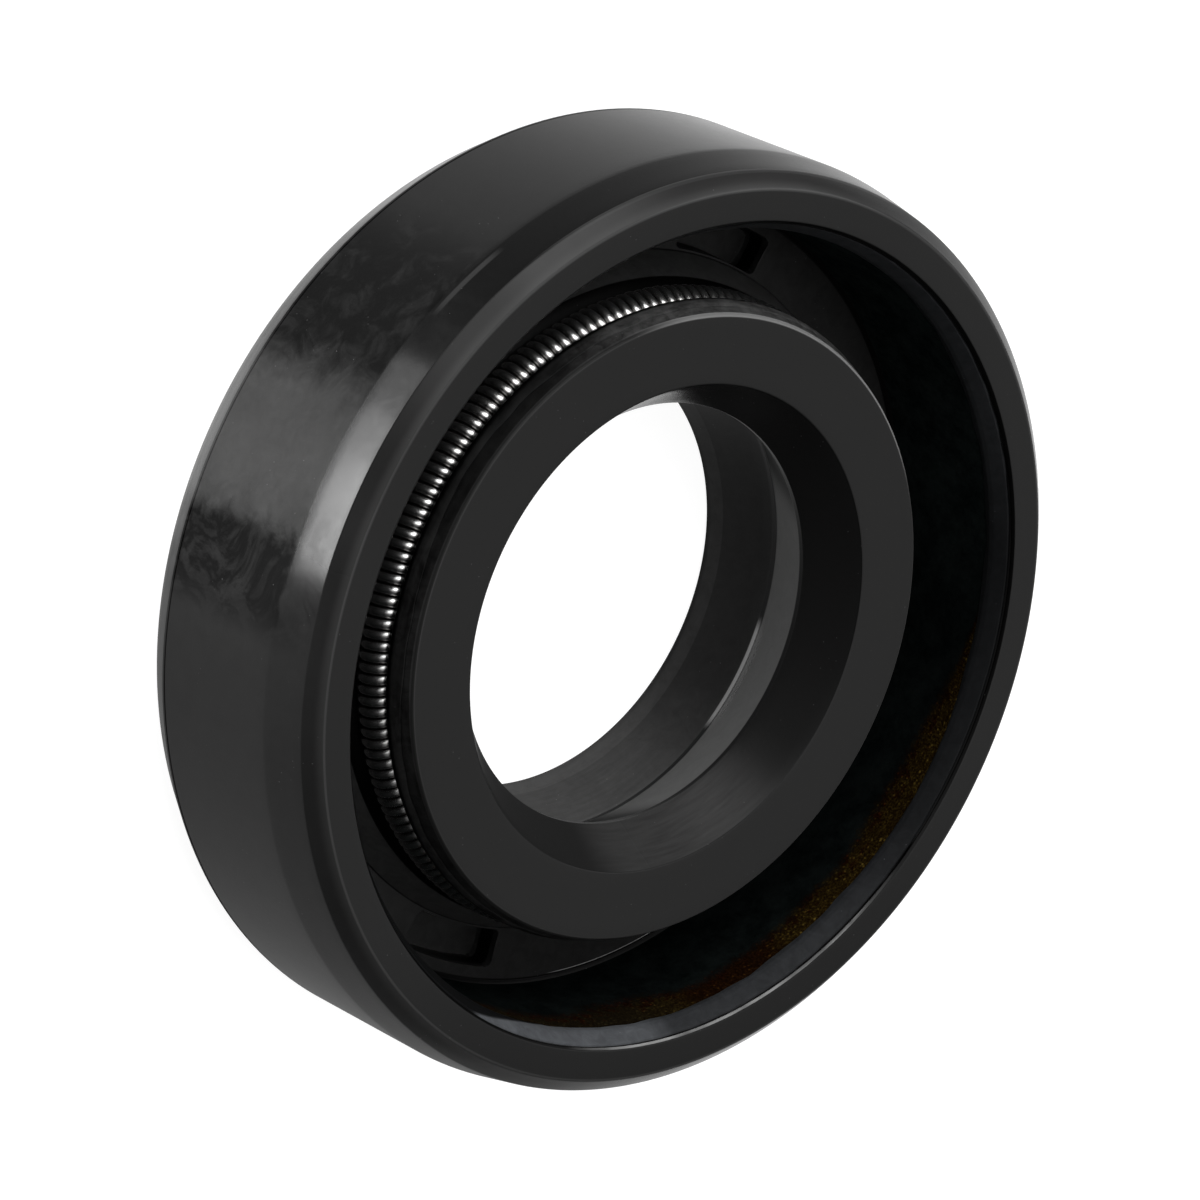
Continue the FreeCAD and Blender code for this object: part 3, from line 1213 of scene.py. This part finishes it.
@dataclass
class RubberMoulding(Piece):
    """The whole rubber body: cover, rim, back, floor pad with pockets, neck, sealing lip and dust lip.

    Sizes are in millimetres and angles in degrees. Radii count from the axis and heights from the back face.
    """

    steel: SteelInsert
    spring: GarterSpring

    # Cover and rim
    back_inner_r: float = 8.75
    back_chamfer_r: float = 0.52
    back_chamfer_z: float = 0.97
    seam_z: float = 1.03
    seam_depth: float = 0.03
    taper_z: float = 5.34
    taper_r: float = 0.24
    taper_round: float = 0.8
    bevel_z: float = 0.42
    bevel_r: float = 0.65
    rim_inner_r: float = 11.50
    bead_r: float = 11.41
    bead_groove_r: float = 11.44
    bead_groove_top: float = 0.12
    bead_groove_low: float = 0.17
    wrap_edge: float = 0.10
    wrap_lap: float = 0.025

    # Lip
    groove_r: float = 0.68
    ledge_r: float = 9.03
    ledge_z: float = 3.49
    ledge_angle: float = 62.0
    foot_r: float = 9.55
    floor_z: float = 2.49
    hook_r: float = 8.93
    hook_low_z: float = 5.17
    hook_high_z: float = 5.37
    parting_share: float = 0.36
    heel_r: float = 8.67
    heel_z: float = 6.00
    heel_inner_r: float = 6.79
    lip_r: float = 5.88
    lip_z: float = 4.52
    lip_half: float = 0.07
    neck_r: float = 6.91
    neck_z: float = 2.24
    dust_r: float = 6.25
    dust_z: float = 0.10
    dust_tip: float = 0.16
    hollow_r: float = 7.94
    hollow_z: float = 0.75
    hollow_reach: float = 0.61

    # Pockets and columns
    pocket_angles: tuple[float, ...] = (5.2, 95.2, 185.2, 275.2)
    pocket_half: float = 9.0
    pocket_inner_r: float = 9.64
    pocket_outer_r: float = 10.66
    pocket_corner: float = 0.20
    pocket_soft: float = 0.05
    columns: int = 224

    # Where the groove beside the bead opens and where it closes
    bead_open_angle: float = 6.0
    bead_closed_angle: float = 145.0

    def __post_init__(self) -> None:
        """Reads the cover's radius and the width from the frame."""
        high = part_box("rubber_body")[1]
        self.cover_r = min(high[0], high[1]) / MM
        self.width = high[2] / MM
        self.parting_z = self.hook_high_z + self.parting_share * (self.heel_z - self.hook_high_z)

    def outside(self) -> tuple[Corner, ...]:
        """Back face, chamfer, cover with a fine seam, taper, bevel, rim face and the rim's inner bead.

        Returns:
            The corners in order.
        """
        r, w = self.cover_r, self.width
        return (
            Corner(self.back_inner_r, 0.0, 0.12),
            Corner(r - self.back_chamfer_r, 0.0, 0.10),
            Corner(r, self.back_chamfer_z, 0.05),
            Corner(r, self.seam_z),
            Corner(r - self.seam_depth, self.seam_z + 0.015),
            Corner(r - self.seam_depth, self.seam_z + 0.04),
            Corner(r, self.seam_z + 0.055),
            Corner(r, self.taper_z, self.taper_round),
            Corner(r - self.taper_r, w - self.bevel_z, 0.12),
            Corner(r - self.bevel_r, w, 0.12),
            Corner(self.rim_inner_r, w, 0.07),
            Corner(self.bead_r, w - 0.08, 0.03),
            Corner(self.bead_groove_r, w - self.bead_groove_top, 0.01),
            Corner(self.bead_groove_r, w - self.bead_groove_low, 0.01),
            Corner(self.bead_r - 0.05, w - self.bead_groove_low - 0.01, 0.02),
        )

    def wrap(self) -> tuple[Corner, ...]:
        """The wrap's cone and its thin edge, which laps a little over the steel's wall.

        Returns:
            The corners in order.
        """
        inner, top = self.steel.inner_r, self.steel.top_z
        return (
            Corner(inner + 0.02, top + 0.10, 0.04),
            Corner(inner - self.wrap_lap, top - 0.03, 0.02),
            Corner(inner - self.wrap_lap, top - self.wrap_edge, 0.01),
            Corner(inner, top - self.wrap_edge - 0.01),
            Corner(inner, top),
        )

    def bond(self) -> tuple[Corner | Bow, ...]:
        """Where the rubber lies on the steel, hidden from view.

        Returns:
            The corners and bows in order.
        """
        s = self.steel
        return (
            Corner(s.outer_r, s.top_z),
            Bow(s.bend_r, s.bend_z, s.bend + s.thickness, 0, -90),
            Corner(s.flange_inner_r, s.low_z),
            Corner(s.flange_inner_r, s.flange_z),
            Bow(s.bend_r, s.bend_z, s.bend, -90, 0),
        )

    def lip(self) -> tuple[Corner | Bow, ...]:
        """Floor pad, neck, spring groove, hook, heel, sealing edge, dust lip and the hollow behind them.

        Returns:
            The corners and bows in order.
        """
        inner, ring_r, ring_z = self.steel.inner_r, self.spring.ring_r, self.spring.ring_z
        pad = tuple(Corner(r, self.floor_z) for r in self.pad_rows())
        return (
            Corner(inner, self.floor_z + 0.07),
            Corner(inner - 0.05, self.floor_z + 0.035, 0.02),
            Corner(inner - 0.09, self.floor_z, 0.02),
            *pad,
            Corner(self.foot_r, self.floor_z, 0.03),
            Corner(self.ledge_r, self.ledge_z, 0.05),
            Bow(ring_r, ring_z, self.groove_r, -self.ledge_angle, -268),
            Corner(self.hook_r, self.hook_low_z, 0.07),
            Corner(self.hook_r, self.hook_high_z, 0.10),
            *self.parting(),
            Corner(self.heel_r, self.heel_z, 0.11),
            Corner(self.heel_inner_r, self.heel_z, 0.08),
            Corner(self.lip_r, self.lip_z + self.lip_half, 0.03),
            Corner(self.lip_r, self.lip_z - self.lip_half, 0.03),
            Corner(self.neck_r, self.neck_z, 0.35),
            Corner(self.dust_r, self.dust_z, 0.03),
            Corner(self.dust_r + self.dust_tip, 0.0, 0.05),
            Bow(self.hollow_r, self.hollow_z, self.hollow_reach, 180, 0),
        )

    def parting(self) -> tuple[Corner, ...]:
        """A fine mould line across the flank of the head, a thirtieth of a millimetre deep.

        Returns:
            The corners in order.
        """
        lean = (self.hook_r - self.heel_r) / (self.heel_z - self.hook_high_z)
        start = self.hook_r - lean * (self.parting_z - self.hook_high_z)
        return (
            Corner(start, self.parting_z),
            Corner(start - 0.028, self.parting_z + 0.01),
            Corner(start - 0.034, self.parting_z + 0.035),
            Corner(start - 0.022, self.parting_z + 0.05),
        )

    def pad_rows(self) -> np.ndarray:
        """Radii of the pad's rows, close together at the pockets' edges.

        Returns:
            The radii, from the wall inwards.
        """
        near = np.array([0.16, 0.08, 0.03, 0.0, -0.03, -0.08, -0.16])
        rows = np.concatenate(
            [
                np.linspace(self.steel.inner_r - 0.14, self.pocket_outer_r + 0.3, 3),
                self.pocket_outer_r + near,
                np.linspace(self.pocket_outer_r - 0.3, self.pocket_inner_r + 0.3, 3),
                self.pocket_inner_r + near[:-2],
            ]
        )
        return np.sort(rows[rows > self.foot_r + 0.02])[::-1]

    def angles(self) -> np.ndarray:
        """Angles of the columns, in radians, close together at the pockets' ends.

        Returns:
            The angles, rising from 0.
        """
        even = np.linspace(0.0, 360.0, self.columns, endpoint=False)
        ends = np.array([a + s * self.pocket_half for a in self.pocket_angles for s in (-1, 1)])
        near = np.array([-1.2, -0.85, -0.6, -0.4, -0.25, -0.12, 0.0, 0.12, 0.25, 0.4, 0.6, 0.85, 1.2])
        close = (ends[:, None] + near[None, :]).ravel() % 360.0
        apart = np.abs((even[:, None] - ends[None, :] + 180.0) % 360.0 - 180.0).min(axis=1)
        return np.sort(np.concatenate([even[apart > 1.5], close])) * DEGREE

    def pocket_share(self, radii: np.ndarray, angles: np.ndarray) -> np.ndarray:
        """How far a place lies in a pocket, from 0 outside to 1 inside.

        The pocket is a box with rounded corners in (arc length, radius). The distance to its edge is the
        length of the offset beyond the inner box, less the corner's radius, and the share steps over it.

        Args:
            radii: Radii, shaped (rows, columns).
            angles: Angles of the columns, in radians.

        Returns:
            The share, shaped as the radii.
        """
        middle = (self.pocket_inner_r + self.pocket_outer_r) / 2
        centres = np.array(self.pocket_angles)[:, None] * DEGREE
        turn = np.abs((angles[None, :] - centres + math.pi) % (2 * math.pi) - math.pi).min(axis=0)
        long = turn * middle - self.pocket_half * DEGREE * middle + self.pocket_corner
        deep = np.abs(radii - middle) - (self.pocket_outer_r - self.pocket_inner_r) / 2 + self.pocket_corner
        beyond = np.hypot(np.maximum(long, 0)[None, :], np.maximum(deep, 0))
        distance = beyond + np.minimum(np.maximum(long[None, :], deep), 0) - self.pocket_corner
        share = np.clip(0.5 - distance / self.pocket_soft, 0, 1)
        return share * share * (3 - 2 * share)

    def build(self) -> bpy.types.Object:
        """The moulding as one turned section, with pockets sunk in the pad and uneven edges and lines.

        Returns:
            The moulding.
        """
        section = Section(self.outside() + self.wrap() + self.bond() + self.lip()).points()
        angles = self.angles()
        radii = np.repeat(section[:, :1], len(angles), axis=1)
        heights = np.repeat(section[:, 1:], len(angles), axis=1)
        self.sink_pockets(radii, heights, angles)
        self.tear_wrap(radii, heights, angles)
        self.wander_parting(radii, heights, angles)
        self.wander_groove(radii, heights, angles)
        made = grid_object("rubber_moulding", turned_grid(radii, heights, angles), crease=50.0)
        return self.place(made, "rubber_body", Slot.RUBBER, MouldedRubber("moulded_rubber"))

    def sink_pockets(self, radii: np.ndarray, heights: np.ndarray, angles: np.ndarray) -> None:
        """Lowers the pad's places in the pockets almost to the steel flange.

        Args:
            radii: Radii of the grid.
            heights: Heights of the grid, changed in place.
            angles: Angles of the columns.
        """
        pad = (np.abs(heights - self.floor_z) < 1e-4) & (radii > self.foot_r)
        depth = self.floor_z - self.steel.flange_z - 0.004
        heights -= pad * depth * self.pocket_share(radii, angles)

    def tear_wrap(self, radii: np.ndarray, heights: np.ndarray, angles: np.ndarray) -> None:
        """Moves the wrap's thin edge up and down along the steel's wall by an uneven line.

        Args:
            radii: Radii of the grid.
            heights: Heights of the grid, changed in place.
            angles: Angles of the columns.
        """
        top = self.steel.top_z
        on_wall = radii < self.steel.inner_r + 0.001
        edge = on_wall & (heights < top - 0.04) & (heights > top - self.wrap_edge - 0.02)
        rough = 0.05 * ripple(angles, (3, 9), 5, 11) + 0.03 * ripple(angles, (20, 70), 9, 12)
        heights -= edge * np.clip(0.05 + rough, -0.04, 0.2)

    def wander_parting(self, radii: np.ndarray, heights: np.ndarray, angles: np.ndarray) -> None:
        """Lets the flank's mould line rise and fall.

        Args:
            radii: Radii of the grid.
            heights: Heights of the grid, changed in place.
            angles: Angles of the columns.
        """
        on_flank = (radii > self.heel_r) & (radii < self.hook_r)
        line = on_flank & (np.abs(heights - self.parting_z - 0.025) < 0.03)
        heights += line * (0.06 * ripple(angles, (2, 8), 5, 21) + 0.02 * ripple(angles, (15, 50), 8, 22))

    def wander_groove(self, radii: np.ndarray, heights: np.ndarray, angles: np.ndarray) -> None:
        """Lets the groove beside the rim's bead open on one side of the ring and close on the other.

        Args:
            radii: Radii of the grid, changed in place.
            heights: Heights of the grid.
            angles: Angles of the columns.
        """
        middle_z = self.width - (self.bead_groove_top + self.bead_groove_low) / 2
        groove = (np.abs(radii - self.bead_groove_r) < 0.012) & (np.abs(heights - middle_z) < 0.03)
        wide = 0.04 * np.clip((np.cos(angles - self.bead_open_angle * DEGREE) - 0.93) / 0.05, 0.0, 1.0)
        closed = 0.07 * np.clip((np.cos(angles - self.bead_closed_angle * DEGREE) - 0.3) / 0.3, 0.0, 1.0)
        uneven = 0.03 * ripple(angles, (3, 12), 6, 23) + 0.03 * ripple(angles, (30, 90), 9, 24)
        radii += groove * np.clip(wide + uneven - closed, -0.05, 0.09)


@dataclass(frozen=True)
class Softbox:
    """One soft light: where it stands, what it looks at, its size and its strength.

    Attributes:
        name: Its name.
        place: Its centre, in millimetres.
        target: The point that it faces, in millimetres.
        size: Width and height, in millimetres.
        power: Watts.
    """

    name: str
    place: tuple[float, float, float]
    target: tuple[float, float, float]
    size: tuple[float, float]
    power: float

    def build(self) -> bpy.types.Object:
        """The area light, turned to its target.

        Returns:
            The light.
        """
        light = bpy.data.lights.new(self.name, "AREA")
        light.shape = "RECTANGLE"
        light.size, light.size_y = (s * MM for s in self.size)
        light.energy = self.power
        made = bpy.data.objects.new(self.name, light)
        bpy.context.scene.collection.objects.link(made)
        made.location = Vector(self.place) * MM
        aim = Vector(self.target) * MM - made.location
        made.rotation_euler = aim.to_track_quat("-Z", "Y").to_euler()
        made.visible_camera = False
        return made


@dataclass(frozen=True)
class Glow:
    """One soft patch of the surroundings.

    Attributes:
        azimuth: Its direction round the axis, in degrees.
        elevation: Its height over the board, in degrees.
        half_width: Half of its width, in degrees.
        strength: Its brightness.
    """

    azimuth: float
    elevation: float
    half_width: float
    strength: float

    def direction(self) -> tuple[float, float, float]:
        """The unit vector towards the patch."""
        level = math.cos(self.elevation * DEGREE)
        turn = self.azimuth * DEGREE
        return level * math.cos(turn), level * math.sin(turn), math.sin(self.elevation * DEGREE)


@dataclass
class Studio:
    """A pale board, soft light all round and the camera at the photograph's angle.

    Attributes:
        eye: The camera's place, in millimetres.
        right: The camera's own right.
        up: The camera's own up.
        lens: Focal length, in millimetres.
        sensor: Width of the sensor, in millimetres.
        shift: The lens's small shift across and up.
        base: Brightness of the surroundings between the patches.
        glows: The brighter patches.
        boxes: The three low lights that draw the highlight on the cover and its taper.
        board_drop: How far the board lies below the back face, in millimetres.
        board_rings: Rings of points on the board.
        board_columns: Points on each ring.
    """

    eye: tuple[float, float, float] = (0.065, -131.51, 137.19)
    right: tuple[float, float, float] = (-0.41937, 0.64804, 0.63575)
    up: tuple[float, float, float] = (-0.90782, -0.29936, -0.29368)
    lens: float = 210.0
    sensor: float = 36.0
    shift: tuple[float, float] = (-0.0008, 0.0008)
    board_drop: float = 0.01
    board_rings: int = 24
    board_columns: int = 96
    base: float = 0.12
    glows: tuple[Glow, ...] = (
        Glow(-150.0, 31.0, 24.0, 5.5),
        Glow(150.0, 33.0, 18.0, 4.0),
        Glow(95.0, 52.0, 28.0, 0.9),
        Glow(0.0, 90.0, 30.0, 0.8),
        Glow(-105.0, 44.0, 20.0, 1.2),
        Glow(0.0, 90.0, 14.0, 1.6),
        Glow(-128.0, 56.0, 12.0, 4.2),
        Glow(30.0, -70.0, 50.0, 0.9),
    )
    boxes: tuple[Softbox, ...] = (
        Softbox("low_strip", (2.4, -23.6, 1.6), (0.4, -12.0, 5.6), (8.0, 2.8), 0.0025),
        Softbox("low_middle", (-3.2, -23.2, 1.6), (-1.0, -12.1, 5.6), (3.4, 2.8), 0.0007),
        Softbox("low_fill", (-6.6, -21.9, 1.6), (-2.4, -12.0, 5.6), (3.6, 2.8), 0.0003),
    )

    def build(self) -> None:
        """Builds the board, the lights and the camera."""
        self.board()
        self.surroundings()
        for box in self.boxes:
            box.build()
        self.camera()

    def board(self) -> None:
        """A pale disc just below the seal's back face, on rings of points that widen outwards."""
        count = self.board_columns
        angles = np.linspace(0, 2 * math.pi, count, endpoint=False)
        radii = np.repeat(np.geomspace(2.0, 1500.0, self.board_rings)[:, None], count, axis=1)
        flat = turned_grid(radii, np.full_like(radii, -self.board_drop), angles).reshape(-1, 3)
        points = np.vstack([[[0.0, 0.0, -self.board_drop * MM]], flat])
        column = np.arange(count)
        beside = np.roll(column, -1)
        row = np.arange(self.board_rings - 1)[:, None] * count + 1
        quads = np.stack([row + column, row + count + column, row + count + beside, row + beside], axis=-1)
        middle = np.stack([np.zeros(count, int), column + 1, beside + 1], axis=-1)
        mesh = bpy.data.meshes.new("board")
        mesh.from_pydata(points.tolist(), [], middle.tolist() + quads.reshape(-1, 4).tolist())
        mesh.update()
        made = bpy.data.objects.new("board", mesh)
        bpy.context.scene.collection.objects.link(made)
        made.data.materials.append(PaleBoard("pale_board").material())

    def surroundings(self) -> None:
        """A dim even light with brighter patches, each a smooth step of the cosine to its direction."""
        world = bpy.data.worlds.new("studio")
        world.use_nodes = True
        graph = Graph(world.node_tree)
        look = graph.out(graph.node("ShaderNodeTexCoord"), "Generated")
        total: Value | float = self.base
        for glow in self.glows:
            vectors = {0: look, 1: glow.direction()}
            dot = graph.node("ShaderNodeVectorMath", {"operation": "DOT_PRODUCT"}, vectors)
            near, far = (math.cos(share * glow.half_width * DEGREE) for share in (0.25, 1.5))
            total = total + graph.rise(graph.out(dot, "Value"), far, near) * glow.strength
        light = graph.node("ShaderNodeBackground", {}, {"Strength": total})
        graph.node("ShaderNodeOutputWorld", {}, {"Surface": graph.out(light)})
        bpy.context.scene.world = world

    def camera(self) -> None:
        """The camera, placed by its own axes."""
        data = bpy.data.cameras.new("camera")
        data.sensor_width = self.sensor
        data.lens = self.lens
        data.clip_start = 0.01
        data.shift_x, data.shift_y = self.shift
        made = bpy.data.objects.new("camera", data)
        bpy.context.scene.collection.objects.link(made)
        right, up = Vector(self.right).normalized(), Vector(self.up).normalized()
        turn = Matrix((right, up, right.cross(up))).transposed().to_4x4()
        made.matrix_world = Matrix.Translation(Vector(self.eye) * MM) @ turn
        bpy.context.scene.camera = made
        bpy.context.scene.view_settings.view_transform = "Standard"


def main() -> None:
    """Builds the studio and the three pieces."""
    logging.basicConfig(level=logging.INFO, format="%(message)s")
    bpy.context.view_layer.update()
    Studio().build()
    steel = SteelInsert()
    spring = GarterSpring()
    rubber = RubberMoulding(steel, spring)
    for piece in (steel, spring, rubber):
        piece.build()


if __name__ == "__main__":
    main()
